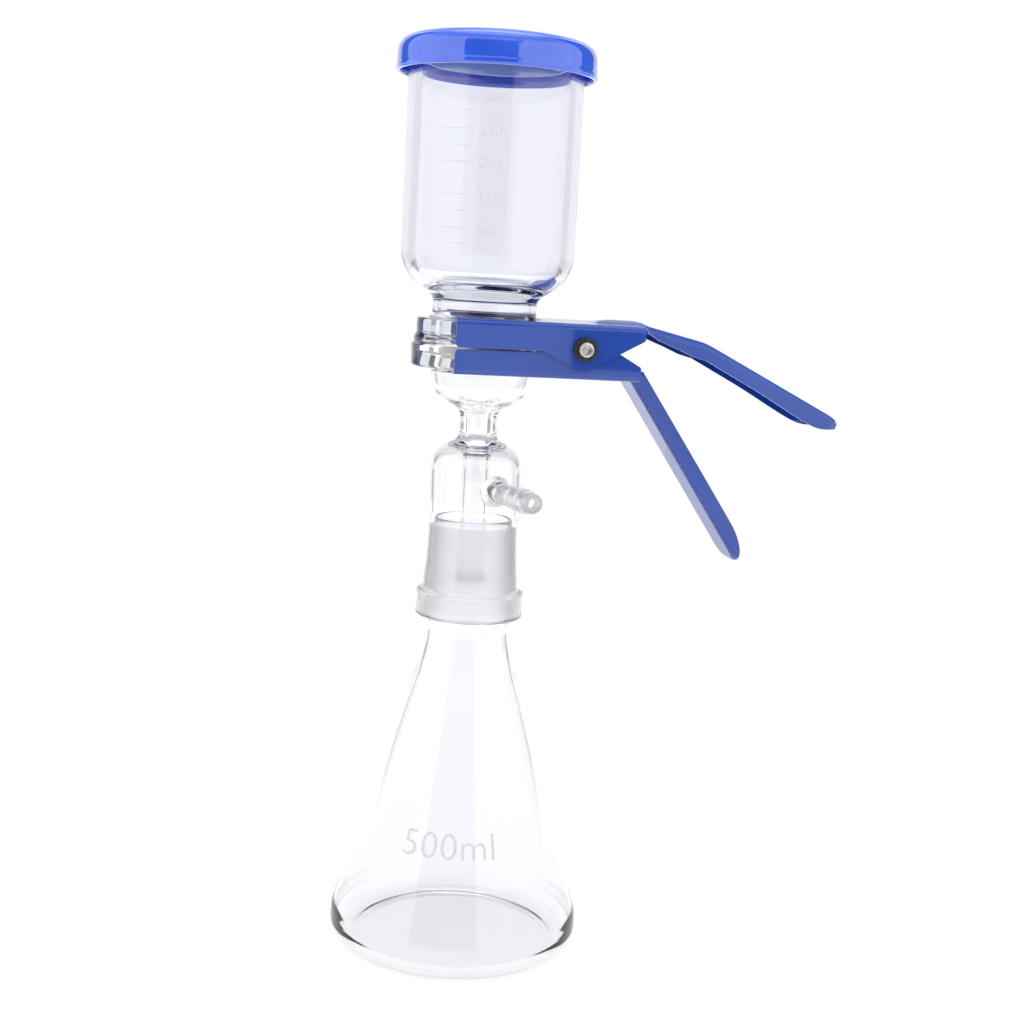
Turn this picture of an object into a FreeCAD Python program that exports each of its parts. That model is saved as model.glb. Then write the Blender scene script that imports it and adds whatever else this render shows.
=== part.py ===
import FreeCAD, Part
import math
import os

# Vacuum filtration unit: conical receiving flask, filter head with vacuum
# hose barb, sintered support disc, graduated funnel, push-on lid and the
# spring clamp that holds the funnel flange on the head flange.
# Millimetres. Z is the common glass axis, z = 0 is the plane the flask stands
# on. +X points along the clamp's handles.

V = FreeCAD.Vector
os.makedirs("parts", exist_ok=True)

# ------------------------------------------------------------ driving sizes
# flask
FLASK_R = 57.6            # largest radius, at the heel
FLASK_REST_R = 49.0       # ring that touches the bench
HEEL_Z = 9.8              # height of the largest radius
CONE_LOW = (57.0, 16.0)   # straight cone wall, lower end (r, z)
CONE_HIGH = (24.1, 123.4) # straight cone wall, upper end (r, z)
FLASK_WALL = 2.0
NECK_R = 19.4             # clear neck under the ground cone
# ground joint, 40 mm large end, taper 1 in 10 on the diameter
JOINT_R = 20.0
JOINT_Z0 = 158.0          # large end
JOINT_Z1 = 196.0          # small end
JOINT_GAP = 0.04          # radial gap between the two ground faces
RIM_Z = 199.6             # flask mouth
# filter head
COLLAR_R = 24.6
COLLAR_Z0, COLLAR_Z1 = 154.5, 166.6
SOCKET_R = 20.5
DOME_R = 21.3
STEM_R = 8.4
BULB_R = 22.4
DRIP_R, DRIP_BORE = 6.1, 4.6
DRIP_END_Z = 170.0
HEAD_FLANGE_R = 32.1
HEAD_FLANGE_Z0 = 267.45
FACE_Z = 278.3            # plane where the two flanges meet
DISC_R = 20.2
DISC_T = 4.6
BARB_AZ = -74.3           # degrees about Z from +X
BARB_Z = 214.3
BARB_TIP = 57.9           # distance of the tip from the axis
BARB_R = 4.6
BARB_BORE = 2.7
# funnel
CUP_R = 38.5
CUP_BORE = 32.8
FUNNEL_NECK_R = 23.2
FUNNEL_BORE = 19.9
FUNNEL_FLANGE_R = 29.9
FUNNEL_FLANGE_Z1 = 289.0
CUP_RIM_Z = 406.9
# lid
LID_R = 44.1
LID_Z0, LID_Z1 = 394.5, 409.5
LID_PLUG_R = 32.4
# clamp
SHEET = 1.2
UP_HALF = 35.1            # half width of the upper jaw, outside
LOW_HALF = 33.7           # half width of the lower jaw, outside
JAW_X0, JAW_X1 = -18.0, 65.5
JAW_TOP = 290.3
JAW_BOT = 266.2
PIVOT_X, PIVOT_Z = 38.5, 279.4
PIN_R = 2.40
PIN_HOLE = 2.45
BEND_R = 2.5              # outer radius of the long bends of the jaws
HANDLE_HALF = 12.5
HANDLE_BEND = 3.0


def P(r, z):
    return V(r, 0.0, z)


def line(a, b):
    return Part.LineSegment(P(*a), P(*b)).toShape()


def arc(a, m, b):
    return Part.Arc(P(*a), P(*m), P(*b)).toShape()


def spline(pts, t0=None, t1=None):
    c = Part.BSplineCurve()
    k = {"Points": [P(*p) for p in pts]}
    if t0 is not None:
        k["InitialTangent"] = V(t0[0], 0, t0[1])
        k["FinalTangent"] = V(t1[0], 0, t1[1])
    c.interpolate(**k)
    return c.toShape()


def poly(pts):
    return [line(pts[i], pts[i + 1]) for i in range(len(pts) - 1)]


def arc_from(a, ta, b):
    """Arc from a to b that leaves a along ta: (middle point, centre, radius), or None if straight."""
    cx, cy = b[0] - a[0], b[1] - a[1]
    c = math.hypot(cx, cy)
    ux, uy = cx / c, cy / c
    cross = ux * ta[1] - uy * ta[0]
    dot = ux * ta[0] + uy * ta[1]
    th = math.atan2(abs(cross), dot)
    if c * th / 4 < 0.004:
        return None
    s = 1.0 if cross > 0 else -1.0
    wx, wy = -uy * s, ux * s
    h = 0.5 * c * math.tan(th / 2)
    m = (0.5 * (a[0] + b[0]) + wx * h, 0.5 * (a[1] + b[1]) + wy * h)
    R = c / (2 * math.sin(th))
    o = (m[0] - wx * R, m[1] - wy * R)
    return m, o, R


def two_arcs(p, q):
    """Two tangent arcs between (point, tangent) p and q."""
    (ax, ay), (tx, ty) = p
    (bx, by), (sx, sy) = q
    vx, vy = bx - ax, by - ay
    vt = vx * (tx + sx) + vy * (ty + sy)
    k = 2 * (1 - (tx * sx + ty * sy))
    vv = vx * vx + vy * vy
    if k < 1e-9:
        d = vv / (4 * (vx * sx + vy * sy))
    else:
        d = (-vt + math.sqrt(vt * vt + k * vv)) / k
    j = (0.5 * (ax + d * tx + bx - d * sx), 0.5 * (ay + d * ty + by - d * sy))
    first = arc_from((ax, ay), (tx, ty), j)
    second = arc_from((bx, by), (-sx, -sy), j)
    return [((ax, ay), first, j), (j, second, (bx, by))]


def headings(pts, t0, t1):
    """Unit tangents at pts of the cubic through them, chord-length parameter."""
    n = len(pts)
    h = [math.hypot(pts[i + 1][0] - pts[i][0], pts[i + 1][1] - pts[i][1]) for i in range(n - 1)]
    m = [[0.0] * n + [0.0, 0.0] for _ in range(n)]
    for i in range(1, n - 1):
        m[i][i - 1], m[i][i], m[i][i + 1] = h[i], 2 * (h[i - 1] + h[i]), h[i - 1]
        for k in (0, 1):
            m[i][n + k] = 3 * (h[i] / h[i - 1] * (pts[i][k] - pts[i - 1][k])
                               + h[i - 1] / h[i] * (pts[i + 1][k] - pts[i][k]))
    for i, t in ((0, t0), (n - 1, t1)):
        d = math.hypot(*t)
        m[i][i], m[i][n], m[i][n + 1] = 1.0, t[0] / d, t[1] / d
    for i in range(n):
        for j in range(i + 1, min(n, i + 2)):
            f = m[j][i] / m[i][i]
            for k in range(n + 2):
                m[j][k] -= f * m[i][k]
    out = [None] * n
    for i in range(n - 1, -1, -1):
        v = []
        for k in (0, 1):
            r = m[i][n + k] - (m[i][i + 1] * out[i + 1][k] if i + 1 < n else 0.0)
            v.append(r / m[i][i])
        out[i] = v
    return [(x / math.hypot(x, y), y / math.hypot(x, y)) for x, y in out]


def smooth(pts, t0, t1):
    """A smooth outline through pts, as a chain of tangent arcs, so that every
    turned face is a plain torus, cone or cylinder."""
    q = [((float(p[0]), float(p[1])), t) for p, t in zip(pts, headings(pts, t0, t1))]
    out = []
    for i in range(len(q) - 1):
        for a, mid, b in two_arcs(q[i], q[i + 1]):
            out.append(line(a, b) if mid is None else arc(a, mid[0], b))
    return out


def flat(edges):
    out = []
    for e in edges:
        if isinstance(e, list):
            out.extend(e)
        else:
            out.append(e)
    return out


def turned(edges, axis=V(0, 0, 1), base=V(0, 0, 0)):
    w = Part.Wire(Part.__sortEdges__(flat(edges)))
    f = Part.Face(w)
    s = f.revolve(base, axis, 360)
    if s.ShapeType != "Solid":
        s = Part.Solid(s.Shells[0])
    if s.Volume < 0:
        s.reverse()
    return s


def fillet_arc(p0, c, p1, r):
    """Arc of radius r that rounds the corner c between p0 and p1.
    Returns (start, middle, end) points in (r, z)."""
    ax, ay = p0[0] - c[0], p0[1] - c[1]
    bx, by = p1[0] - c[0], p1[1] - c[1]
    la, lb = math.hypot(ax, ay), math.hypot(bx, by)
    ax, ay, bx, by = ax / la, ay / la, bx / lb, by / lb
    cosw = max(-1, min(1, ax * bx + ay * by))
    w = math.acos(cosw)
    d = r / math.tan(w / 2)
    s = (c[0] + ax * d, c[1] + ay * d)
    e = (c[0] + bx * d, c[1] + by * d)
    mx, my = ax + bx, ay + by
    lm = math.hypot(mx, my)
    h = r / math.sin(w / 2)
    o = (c[0] + mx / lm * h, c[1] + my / lm * h)
    m = (o[0] - mx / lm * r, o[1] - my / lm * r)
    return s, m, e


def rounded(pts, radii):
    """Closed outline through pts with the given corner radii (0 = sharp)."""
    n = len(pts)
    ends = []
    for i in range(n):
        if radii[i] > 0:
            s, m, e = fillet_arc(pts[i - 1], pts[i], pts[(i + 1) % n], radii[i])
        else:
            s = m = e = pts[i]
        ends.append((s, m, e))
    edges = []
    for i in range(n):
        s, m, e = ends[i]
        if radii[i] > 0:
            edges.append(arc(s, m, e))
        nxt = ends[(i + 1) % n][0]
        if math.hypot(e[0] - nxt[0], e[1] - nxt[1]) > 1e-6:
            edges.append(line(e, nxt))
    return edges


def prism_y(edges, y0, y1):
    """Solid from an outline in the XZ plane, between y0 and y1."""
    f = Part.Face(Part.Wire(Part.__sortEdges__(edges)))
    f.translate(V(0, y0, 0))
    return f.extrude(V(0, y1 - y0, 0))


def save(shape, name):
    shape = shape.removeSplitter() if shape.ShapeType != "Compound" else shape
    if shape.ShapeType == "Compound" and len(shape.Solids) == 1:
        shape = shape.Solids[0]
    assert shape.isValid(), name + " is not valid"
    assert len(shape.Solids) >= 1, name + " has no solid"
    shape.exportStep("parts/" + name + ".step")
    b = shape.BoundBox
    print("%-16s solids %d faces %3d vol %9.1f  x %.2f..%.2f y %.2f..%.2f z %.2f..%.2f" % (
        name, len(shape.Solids), len(shape.Faces), shape.Volume,
        b.XMin, b.XMax, b.YMin, b.YMax, b.ZMin, b.ZMax))


# ------------------------------------------------------------------- flask
def joint_r(z):
    return JOINT_R - 0.05 * (z - JOINT_Z0)


heel_end = CONE_LOW
outer_heel = smooth([(FLASK_REST_R, 0.0), (52.6, 0.75), (55.7, 3.1), (57.3, 6.4),
                     (FLASK_R, HEEL_Z), (57.45, 13.2), heel_end],
                    (1, 0), (-0.293, 0.956))
outer_neck = smooth([CONE_HIGH, (22.2, 130.2), (20.7, 137.6), (19.7, 145.0), (NECK_R, 151.0)],
                    (-0.293, 0.956), (0, 1))
inner_neck = smooth([(17.3, 151.0), (17.6, 145.0), (18.5, 138.0), (20.0, 130.8), (22.1, 123.0)],
                    (0, -1), (0.293, -0.956))
inner_heel = smooth([(54.8, 17.0), (55.2, 13.0), (54.9, 9.4), (53.2, 6.0), (50.2, 3.7), (46.5, 2.8)],
                    (0.293, -0.956), (-1, -0.04))
inner_floor = poly([(46.5, 2.8), (24.0, 2.95), (0.0, 3.3)])
under = poly([(0.0, 1.3), (24.0, 1.0), (44.6, 0.35), (46.8, 0.0)])
flask_edges = [
    line((0.0, 3.3), (0.0, 1.3)),
    under,
    line((46.8, 0.0), (FLASK_REST_R, 0.0)),
    outer_heel,
    line(CONE_LOW, CONE_HIGH),
    outer_neck,
    line((NECK_R, 151.0), (NECK_R, 153.6)),
    line((NECK_R, 153.6), (JOINT_R, JOINT_Z0)),
    line((JOINT_R, JOINT_Z0), (joint_r(JOINT_Z1), JOINT_Z1)),
    line((joint_r(JOINT_Z1), JOINT_Z1), (17.95, 198.6)),
    arc((17.95, 198.6), (17.0, RIM_Z), (16.05, 198.6)),
    line((16.05, 198.6), (15.9, 195.0)),
    line((15.9, 195.0), (17.3, 158.0)),
    line((17.3, 158.0), (17.3, 151.0)),
    inner_neck,
    line((22.1, 123.0), (54.8, 17.0)),
    inner_heel,
    inner_floor,
]
flask = turned(flask_edges)
save(flask, "flask")

# -------------------------------------------------------------- filter head
def bore_r(z):
    return joint_r(z) + JOINT_GAP


head_edges = [
    # collar
    line((bore_r(155.6), 155.6), (21.0, COLLAR_Z0)),
    line((21.0, COLLAR_Z0), (23.4, COLLAR_Z0)),
    arc((23.4, COLLAR_Z0), (24.25, 154.85), (COLLAR_R, 155.7)),
    line((COLLAR_R, 155.7), (COLLAR_R, 164.9)),
    arc((COLLAR_R, 164.9), (24.1, 166.1), (22.9, COLLAR_Z1)),
    smooth([(22.9, COLLAR_Z1), (22.1, 167.3), (21.75, 169.2), (21.2, 175.0), (20.75, 181.0),
            (SOCKET_R, 188.0), (SOCKET_R, 195.0), (20.8, 201.5), (21.1, 207.5),
            (DOME_R, 214.0), (DOME_R, 221.0), (20.9, 225.2), (19.7, 228.3), (17.7, 230.7),
            (15.0, 232.6), (12.2, 233.8), (10.1, 235.0), (8.9, 237.0), (STEM_R, 240.0),
            (STEM_R, 243.5), (8.7, 246.6), (9.7, 248.7), (12.0, 250.1), (14.8, 251.5), (17.7, 253.4),
            (20.1, 256.3), (21.7, 259.7), (BULB_R, 263.4)],
           (-1, 0.35), (0, 1)),
    line((BULB_R, 263.4), (BULB_R, 265.85)),
    arc((BULB_R, 265.85), (22.87, 266.98), (24.0, HEAD_FLANGE_Z0)),
    line((24.0, HEAD_FLANGE_Z0), (30.7, HEAD_FLANGE_Z0)),
    arc((30.7, HEAD_FLANGE_Z0), (31.7, 267.85), (HEAD_FLANGE_R, 268.85)),
    line((HEAD_FLANGE_R, 268.85), (HEAD_FLANGE_R, 276.4)),
    arc((HEAD_FLANGE_R, 276.4), (31.6, 277.7), (30.5, FACE_Z)),
    line((30.5, FACE_Z), (DISC_R + 0.05, FACE_Z)),
    line((DISC_R + 0.05, FACE_Z), (DISC_R + 0.05, FACE_Z - DISC_T)),
    line((DISC_R + 0.05, FACE_Z - DISC_T), (18.8, FACE_Z - DISC_T)),
    # bulb, stem and drip tube bore
    smooth([(18.8, FACE_Z - DISC_T), (19.5, 271.0), (20.2, 266.0), (20.1, 262.4), (19.1, 259.0),
            (17.2, 256.2), (14.2, 254.0), (10.5, 252.5), (7.3, 251.3), (5.3, 249.6),
            (4.55, 246.5), (4.45, 240.0), (4.5, 232.0), (DRIP_BORE, 226.0)],
           (0.4, -1), (0, -1)),
    line((DRIP_BORE, 226.0), (DRIP_BORE, DRIP_END_Z + 0.6)),
    arc((DRIP_BORE, DRIP_END_Z + 0.6), (0.5 * (DRIP_BORE + DRIP_R), DRIP_END_Z), (DRIP_R, DRIP_END_Z + 0.6)),
    line((DRIP_R, DRIP_END_Z + 0.6), (DRIP_R, 226.5)),
    # ring seal and inside of the dome
    smooth([(DRIP_R, 226.5), (6.35, 228.9), (7.5, 230.6), (9.6, 231.1), (12.2, 230.9), (14.9, 229.6),
            (17.2, 227.5), (18.7, 224.5), (19.15, 220.5), (19.15, 214.0), (18.9, 206.0),
            (18.5, 200.5), (bore_r(196.6), 196.6)],
           (0, 1), (-0.05, -1)),
    line((bore_r(196.6), 196.6), (bore_r(155.6), 155.6)),
]
head = turned(head_edges)

# hose barb: turned about its own axis, then laid radially
def barb_profile():
    t = BARB_TIP
    return [
        line((0, 14.0), (7.4, 14.0)),
        line((7.4, 14.0), (7.4, 20.2)),
        smooth([(7.4, 20.2), (6.5, 21.9), (5.4, 23.6), (BARB_R + 0.05, 27.0), (BARB_R, 31.0)], (-0.6, 1), (0, 1)),
        line((BARB_R, 31.0), (BARB_R, t - 19.0)),
        smooth([(BARB_R, t - 19.0), (5.25, t - 17.2), (5.3, t - 15.6), (BARB_R, t - 11.6)], (0.4, 1), (-0.25, 1)),
        smooth([(BARB_R, t - 11.6), (5.3, t - 9.6), (5.35, t - 7.8), (4.5, t - 3.6)], (0.4, 1), (-0.2, 1)),
        smooth([(4.5, t - 3.6), (4.2, t - 1.2), (3.55, t - 0.15), (3.2, t)], (-0.2, 1), (-1, 0.1)),
        line((3.2, t), (0, t)),
        line((0, t), (0, 14.0)),
    ]


def bore_profile():
    t = BARB_TIP
    return [
        line((0, 10.0), (BARB_BORE, 10.0)),
        line((BARB_BORE, 10.0), (BARB_BORE, t - 0.8)),
        line((BARB_BORE, t - 0.8), (3.2, t + 0.3)),
        line((3.2, t + 0.3), (0, t + 0.3)),
        line((0, t + 0.3), (0, 10.0)),
    ]


def lay_radial(s):
    s = s.copy()
    s.rotate(V(0, 0, 0), V(0, 1, 0), 90)          # +Z -> +X
    s.rotate(V(0, 0, 0), V(0, 0, 1), BARB_AZ)
    s.translate(V(0, 0, BARB_Z))
    return s


barb = lay_radial(turned(barb_profile()))
bore = lay_radial(turned(bore_profile()))
# keep the barb out of the dome's inside
inside = Part.makeCylinder(19.4, 60, V(0, 0, BARB_Z - 30))
barb = barb.cut(inside)
head = head.fuse(barb).cut(bore)
save(head, "filter_head")

# ------------------------------------------------------------ sintered disc
disc = Part.makeCylinder(DISC_R, DISC_T, V(0, 0, FACE_Z - DISC_T))
save(disc, "sintered_disc")

# ------------------------------------------------------------------- funnel
funnel_edges = [
    line((FUNNEL_BORE, 279.0), (20.5, FACE_Z)),
    line((20.5, FACE_Z), (30.3, FACE_Z)),
    arc((30.3, FACE_Z), (30.85, 278.75), (31.0, 279.5)),
    smooth([(31.0, 279.5), (30.85, 280.6), (30.1, 282.0), (FUNNEL_FLANGE_R, 283.6)], (0, 1), (0, 1)),
    line((FUNNEL_FLANGE_R, 283.6), (FUNNEL_FLANGE_R, 287.8)),
    arc((FUNNEL_FLANGE_R, 287.8), (29.55, 288.65), (28.7, FUNNEL_FLANGE_Z1)),
    line((28.7, FUNNEL_FLANGE_Z1), (25.0, FUNNEL_FLANGE_Z1)),
    smooth([(25.0, FUNNEL_FLANGE_Z1), (23.9, 290.1), (23.35, 291.8), (FUNNEL_NECK_R, 293.6)], (-1, 0.5), (0, 1)),
    line((FUNNEL_NECK_R, 293.6), (FUNNEL_NECK_R, 295.8)),
    smooth([(FUNNEL_NECK_R, 295.8), (23.6, 297.9), (25.0, 299.6), (27.5, 301.2), (30.6, 303.3), (33.6, 306.1),
            (36.1, 309.8), (37.8, 314.0), (CUP_R, 319.5)], (0, 1), (0, 1)),
    line((CUP_R, 319.5), (CUP_R, 405.6)),
    arc((CUP_R, 405.6), (38.1, 406.5), (37.2, CUP_RIM_Z)),
    line((37.2, CUP_RIM_Z), (34.2, CUP_RIM_Z)),
    arc((34.2, CUP_RIM_Z), (33.2, 406.5), (CUP_BORE, 405.5)),
    line((CUP_BORE, 405.5), (CUP_BORE, 320.0)),
    smooth([(CUP_BORE, 320.0), (32.3, 314.6), (30.7, 310.7), (28.1, 307.7), (25.0, 305.7), (22.4, 304.4),
            (20.6, 302.6), (FUNNEL_BORE, 300.0)], (0, -1), (0, -1)),
    line((FUNNEL_BORE, 300.0), (FUNNEL_BORE, 279.0)),
]
funnel = turned(funnel_edges)
save(funnel, "funnel")

# ---------------------------------------------------------------------- lid
UNDER = 407.05
lid_edges = [
    line((0, LID_Z1 - 0.6), (26.0, LID_Z1 - 0.6)),
    smooth([(26.0, LID_Z1 - 0.6), (30.0, LID_Z1 - 0.35), (34.0, LID_Z1 - 0.02), (36.6, LID_Z1)], (1, 0), (1, 0)),
    smooth([(36.6, LID_Z1), (39.6, 408.95), (41.9, 407.3), (43.2, 405.0), (43.65, 402.0)], (1, 0), (0.02, -1)),
    line((43.65, 402.0), (43.8, 397.6)),
    smooth([(43.8, 397.6), (43.95, 396.9), (LID_R, 395.9), (43.95, 395.0), (43.5, LID_Z0)], (0.1, -1), (-1, -0.3)),
    line((43.5, LID_Z0), (42.5, LID_Z0)),
    line((42.5, LID_Z0), (42.1, 395.6)),
    line((42.1, 395.6), (42.0, 402.6)),
    smooth([(42.0, 402.6), (41.3, 405.0), (39.9, 406.5), (37.8, UNDER)], (0, 1), (-1, 0.1)),
    line((37.8, UNDER), (LID_PLUG_R, UNDER)),
    line((LID_PLUG_R, UNDER), (LID_PLUG_R, 399.2)),
    line((LID_PLUG_R, 399.2), (31.9, 398.4)),
    line((31.9, 398.4), (30.9, 398.4)),
    line((30.9, 398.4), (30.7, 399.0)),
    line((30.7, 399.0), (30.5, 406.2)),
    line((30.5, 406.2), (29.7, 407.0)),
    line((29.7, 407.0), (0, 407.0)),
    line((0, 407.0), (0, LID_Z1 - 0.6)),
]
lid = turned(lid_edges)
save(lid, "lid")

# -------------------------------------------------------------------- clamp
MID_Z = 0.5 * (JAW_TOP + JAW_BOT)


def channel(half, z_plate, z_open):
    """U channel along X: plate at z_plate, walls towards z_open."""
    up = z_plate > z_open
    z0, z1 = min(z_plate, z_open), max(z_plate, z_open)
    o = Part.makeBox(JAW_X1 - JAW_X0, 2 * half, z1 - z0, V(JAW_X0, -half, z0))
    h = half - SHEET
    zi0, zi1 = (z0 - 5, z1 - SHEET) if up else (z0 + SHEET, z1 + 5)
    i = Part.makeBox(JAW_X1 - JAW_X0 + 10, 2 * h, zi1 - zi0, V(JAW_X0 - 5, -h, zi0))

    def long_edges(s, z):
        return [e for e in s.Edges if abs(e.Length - s.BoundBox.XLength) < 1e-6
                and abs(e.CenterOfMass.z - z) < 1e-6]
    zo, zi = (z1, zi1) if up else (z0, zi0)
    o = o.makeFillet(BEND_R, long_edges(o, zo))
    i = i.makeFillet(BEND_R - SHEET, long_edges(i, zi))
    return o.cut(i)


def side_outline(flip):
    """Outline of a jaw's side wall in XZ; the lower jaw is its mirror."""
    pts = [(JAW_X0, 292.0), (JAW_X0, 277.9), (20.4, 277.9), (37.9, 268.9), (65.5, 284.2), (65.5, 292.0)]
    rad = [0, 1.8, 9.0, 8.5, 1.5, 0]
    if flip:
        pts = [(JAW_X0, 292.0), (JAW_X0, 279.5), (20.0, 279.3), (37.9, 269.2), (64.6, 284.0), (64.6, 292.0)]
        pts = [(x, 2 * MID_Z - z) for x, z in pts]
    return rounded(pts, rad)


def fork(radius, z0, z1):
    c = Part.makeCylinder(radius, z1 - z0, V(0, 0, z0))
    b = Part.makeBox(60, 2 * radius, z1 - z0, V(-60, -radius, z0))
    return c.fuse(b)


def bead(z_face, height, sign, x0, x1, width=13.0):
    """Raised stiffening bead on a plate; sign +1 stands up, -1 hangs down."""
    def one(off):
        r = (width ** 2 / 4 + height ** 2) / (2 * height)
        zc = z_face + sign * (height - r) - sign * off
        c = Part.makeCylinder(r, x1 - x0, V(x0, 0, zc), V(1, 0, 0))
        zf = z_face - sign * off
        pts = [(x0, zf - sign * 0.3), (x0 + 4.5, zf + sign * height * 0.62), (x0 + 9.5, zf + sign * height),
               (x1 - 6.0, zf + sign * height), (x1 - 2.6, zf + sign * height * 0.55), (x1, zf - sign * 0.3)]
        w = prism_y(poly(pts + [pts[0]]), -width, width)
        return c.common(w)
    return one(0.0), one(SHEET)


def u_section(x, z, down=True):
    """Handle section at the start of its spine, plate face at height z."""
    s = -1 if down else 1
    H, B, T = HANDLE_HALF, HANDLE_BEND, SHEET
    D = 14.0

    def q(y, h):
        return V(x, y, z + s * h)
    k = math.sqrt(0.5)
    ri = B - T
    e = [
        Part.LineSegment(q(-H, D), q(-H, B)).toShape(),
        Part.Arc(q(-H, B), q(-H + B - B * k, B - B * k), q(-H + B, 0)).toShape(),
        Part.LineSegment(q(-H + B, 0), q(H - B, 0)).toShape(),
        Part.Arc(q(H - B, 0), q(H - B + B * k, B - B * k), q(H, B)).toShape(),
        Part.LineSegment(q(H, B), q(H, D)).toShape(),
        Part.LineSegment(q(H, D), q(H - T, D)).toShape(),
        Part.LineSegment(q(H - T, D), q(H - T, B)).toShape(),
        Part.Arc(q(H - T, B), q(H - B + ri * k, B - ri * k), q(H - B, T)).toShape(),
        Part.LineSegment(q(H - B, T), q(-H + B, T)).toShape(),
        Part.Arc(q(-H + B, T), q(-H + B - ri * k, B - ri * k), q(-H + T, B)).toShape(),
        Part.LineSegment(q(-H + T, B), q(-H + T, D)).toShape(),
        Part.LineSegment(q(-H + T, D), q(-H, D)).toShape(),
    ]
    return Part.Wire(Part.__sortEdges__(e))


def spine(pts, radii):
    edges = []
    prev = pts[0]
    for i in range(1, len(pts) - 1):
        s, m, e = fillet_arc(pts[i - 1], pts[i], pts[i + 1], radii[i - 1])
        edges.append(line(prev, s))
        edges.append(arc(s, m, e))
        prev = e
    edges.append(line(prev, pts[-1]))
    return Part.Wire(edges)


def handle_end(origin, angle, s0, s1, corner, down):
    """Last straight run of a handle. Its flange goes on round the rounded end."""
    H, B, T, D = HANDLE_HALF, HANDLE_BEND, SHEET, 14.0

    def block(x0, x1, half, z0, z1, rc, rb):
        k = Part.makeBox(x1 - x0, 2 * half, z1 - z0, V(x0, -half, z0))
        upright = [e for e in k.Edges if e.BoundBox.ZLength > 1 and abs(e.BoundBox.XMin - x1) < 1e-6]
        k = k.makeFillet(rc, upright)
        rim = [e for e in k.Edges if e.BoundBox.ZLength < 1e-6 and abs(e.BoundBox.ZMax - z1) < 1e-6
               and abs(e.CenterOfMass.x - x0) > 1e-6]
        return k.makeFillet(rb, rim)
    s = block(s0, s1, H, -D, 0.0, corner, B).cut(block(s0 - 5, s1 - T, H - T, -D - 5, -T, corner - T, B - T))
    if not down:
        s = s.mirror(V(0, 0, 0), V(0, 0, 1))
    s.rotate(V(0, 0, 0), V(0, 1, 0), math.degrees(angle))
    s.translate(V(origin[0], 0, origin[1]))
    return s


def holes():
    return Part.makeCylinder(PIN_HOLE, 100, V(PIVOT_X, -50, PIVOT_Z), V(0, 1, 0))


# upper half ---------------------------------------------------------------
A1, A2 = math.radians(12.6), math.radians(26.1)
U0, U1, U2 = (58.0, JAW_TOP), (72.5, JAW_TOP), (101.5, JAW_TOP - 29.0 * math.tan(A1))
t2 = (math.cos(A2), -math.sin(A2))
n2 = (-math.sin(A2), -math.cos(A2))
U_END = 78.0


def on2(s, h):
    return (U2[0] + s * t2[0] + h * n2[0], U2[1] + s * t2[1] + h * n2[1])


sp = spine([U0, U1, U2, on2(40, 0)], [14.0, 30.0])
upper_handle = sp.makePipeShell([u_section(U0[0], JAW_TOP, True)], True, False)
upper_handle = upper_handle.fuse(handle_end(U2, A2, 40.0, U_END, 10.5, True))
edge_up = [(58.0, JAW_TOP + 6), (58.0, JAW_TOP - SHEET), (72.6, JAW_TOP - SHEET), (73.4, 286.9),
           (78.7, 283.8), (88.3, 280.2), (95.0, 277.4), on2(4, 7.2), on2(30, 7.5)]
flange_up = poly(edge_up) + [spline([on2(30, 7.5), on2(46, 8.2), on2(60, 8.7), on2(67, 8.1), on2(72.5, 5.9), on2(77, 4.0)],
                                    (t2[0] + 0.02 * n2[0], t2[1] + 0.02 * n2[1]), (t2[0] - 0.3 * n2[0], t2[1] - 0.3 * n2[1]))] + \
    poly([on2(77, 4.0), on2(82, 3.2), on2(82, -10), (101.5, 300), (58.0, JAW_TOP + 6)])
upper_handle = upper_handle.common(prism_y(flange_up, -20, 20))

upper = channel(UP_HALF, JAW_TOP, 264.0)
upper = upper.common(prism_y(side_outline(False), -50, 50))
upper = upper.cut(fork(26.0, JAW_TOP - 8, JAW_TOP + 3))
upper = upper.fuse(upper_handle)
up_out, up_in = bead(JAW_TOP, 1.7, 1, 48.5, 74.5)
upper = upper.fuse(up_out).cut(up_in)
upper = upper.cut(holes())
save(upper, "clamp_upper_jaw")

# lower half ---------------------------------------------------------------
A3 = math.radians(55.5)
L0, L1 = (58.0, JAW_BOT), (65.9, JAW_BOT)
t3 = (math.cos(A3), -math.sin(A3))
n3 = (math.sin(A3), math.cos(A3))
L_END = 102.6


def on3(s, h):
    return (L1[0] + s * t3[0] + h * n3[0], L1[1] + s * t3[1] + h * n3[1])


sp = spine([L0, L1, on3(60, 0)], [6.0])
lower_handle = sp.makePipeShell([u_section(L0[0], JAW_BOT, False)], True, False)
lower_handle = lower_handle.fuse(handle_end(L1, A3, 60.0, L_END, 8.5, False))
edge_low = [(58.0, JAW_BOT - 6), (58.0, JAW_BOT + SHEET), (66.2, JAW_BOT + SHEET), (66.6, 268.6), on3(0.4, 6.9), on3(40, 7.1)]
flange_low = poly(edge_low) + [spline([on3(40, 7.1), on3(62, 7.2), on3(80, 7.2), on3(90, 6.6), on3(97, 4.6), on3(101.5, 2.4)],
                                      t3, (-n3[0] + 1.6 * t3[0], -n3[1] + 1.6 * t3[1]))] + \
    poly([on3(101.5, 2.4), on3(106, 1.0), on3(106, -10), on3(10, -20), (58.0, JAW_BOT - 6)])
lower_handle = lower_handle.common(prism_y(flange_low, -20, 20))

lower = channel(LOW_HALF, JAW_BOT, 292.0)
lower = lower.common(prism_y(side_outline(True), -50, 50))
lower = lower.cut(fork(24.8, JAW_BOT - 3, JAW_BOT + 8))
lower = lower.fuse(lower_handle)
lo_out, lo_in = bead(JAW_BOT, 2.2, -1, 46.0, 66.8)
lower = lower.fuse(lo_out).cut(lo_in)
lower = lower.cut(holes())
save(lower, "clamp_lower_jaw")

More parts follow.
